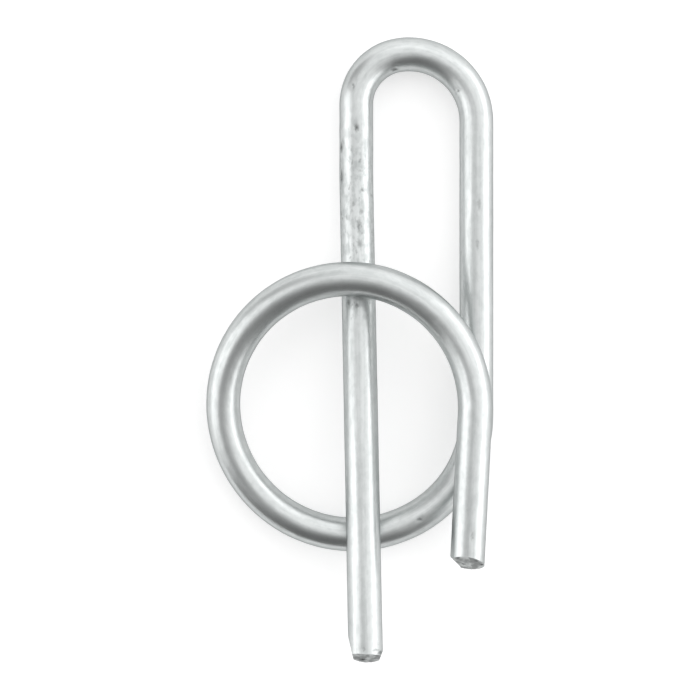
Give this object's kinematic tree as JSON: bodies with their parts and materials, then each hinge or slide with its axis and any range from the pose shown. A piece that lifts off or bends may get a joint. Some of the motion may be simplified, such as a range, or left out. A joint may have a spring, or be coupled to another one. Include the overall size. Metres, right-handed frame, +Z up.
{
  "type": "spring wire retaining clip",
  "caption": "Bright zinc-plated spring wire clip: a hairpin whose one leg is wound into a full ring, threaded by the other leg, to lock a hitch or clevis pin.",
  "frame": {"origin": "on the surface the clip lies on, under the centre of the flat part of its ring", "axes": "+Y along the legs to the hairpin bend, +Z up from the surface the clip lies on, +X to the side of the ring's leg"},
  "size_m": [0.027, 0.0584, 0.0082],
  "materials": {
    "zinc_wire": "bright zinc plate over drawn spring wire, lightly streaked along the wire"
  },
  "bodies": {
    "root": {"spring_wire": "zinc_wire"}
  },
  "joints": []
}
